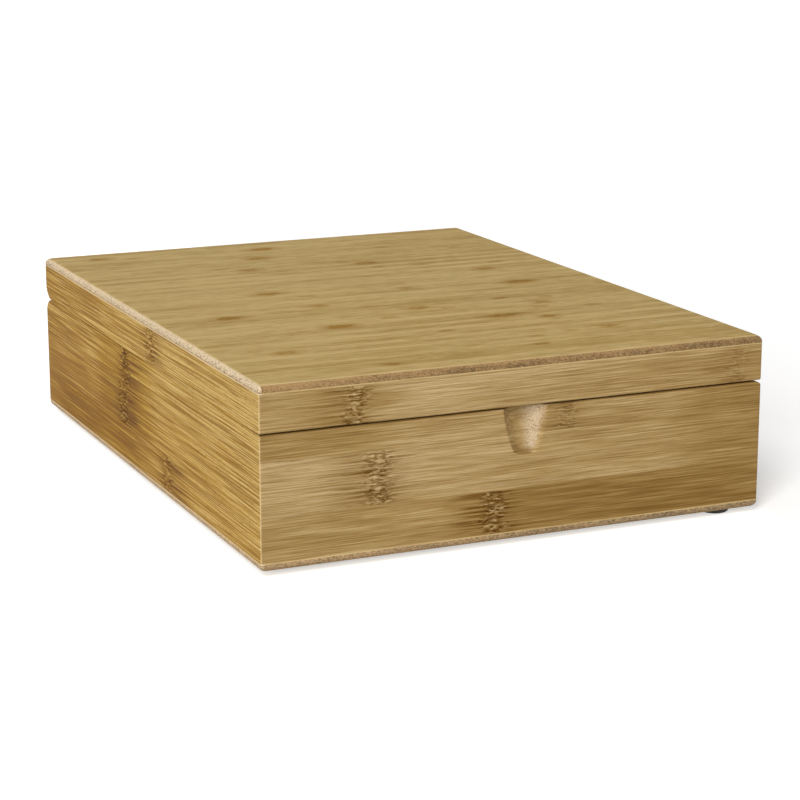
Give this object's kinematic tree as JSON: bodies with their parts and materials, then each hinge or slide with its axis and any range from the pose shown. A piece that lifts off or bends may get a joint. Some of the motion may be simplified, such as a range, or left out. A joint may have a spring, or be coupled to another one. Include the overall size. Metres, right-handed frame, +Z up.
{
  "type": "tea bag box",
  "caption": "Low bamboo tea bag box with a hinged lid, a blind finger scoop in the front rim, a slotted grid of compartments inside and small rubber feet.",
  "frame": {"origin": "on the surface that the box stands on, under the middle of its outline", "axes": "+X to the right along the front, +Y from the front to the hinged rear, +Z up"},
  "size_m": [0.25, 0.33, 0.0855],
  "materials": {
    "bamboo_wall": "satin lacquered flat-pressed bamboo, grain along each board",
    "bamboo_veneer": "satin lacquered side-pressed bamboo veneer",
    "fibreboard": "sanded and lacquered fibreboard edge",
    "bamboo_slat": "sanded bamboo",
    "hinge_brass": "brushed brass",
    "screw_brass": "turned brass",
    "foot_rubber": "matt black rubber"
  },
  "bodies": {
    "base": {"base_front_wall": "bamboo_wall", "base_right_wall": "bamboo_wall", "base_rear_wall": "bamboo_wall", "base_left_wall": "bamboo_wall", "bottom_inner_veneer": "bamboo_veneer", "bottom_outer_veneer": "bamboo_veneer", "bottom_core": "fibreboard", "divider_long_1": "bamboo_slat", "divider_long_2": "bamboo_slat", "divider_cross_1": "bamboo_slat", "divider_cross_2": "bamboo_slat", "divider_cross_3": "bamboo_slat", "hinge_left_base_leaf": "hinge_brass", "hinge_right_base_leaf": "hinge_brass", "hinge_left_pin": "hinge_brass", "hinge_right_pin": "hinge_brass", "base_hinge_screws": "screw_brass", "foot_front_left": "foot_rubber", "foot_front_right": "foot_rubber", "foot_rear_left": "foot_rubber", "foot_rear_right": "foot_rubber"},
    "lid": {"lid_front_wall": "bamboo_wall", "lid_right_wall": "bamboo_wall", "lid_rear_wall": "bamboo_wall", "lid_left_wall": "bamboo_wall", "lid_core": "fibreboard", "lid_top_veneer": "bamboo_veneer", "lid_inner_veneer": "bamboo_veneer", "hinge_left_lid_leaf": "hinge_brass", "hinge_right_lid_leaf": "hinge_brass", "lid_hinge_screws": "screw_brass"}
  },
  "joints": [
    {"name": "lid_hinge", "type": "hinge", "parent": "base", "child": "lid", "pos_m": [0, 0.16, 0.0638], "axis": [-1, 0, 0], "range_deg": [0, 100]}
  ]
}
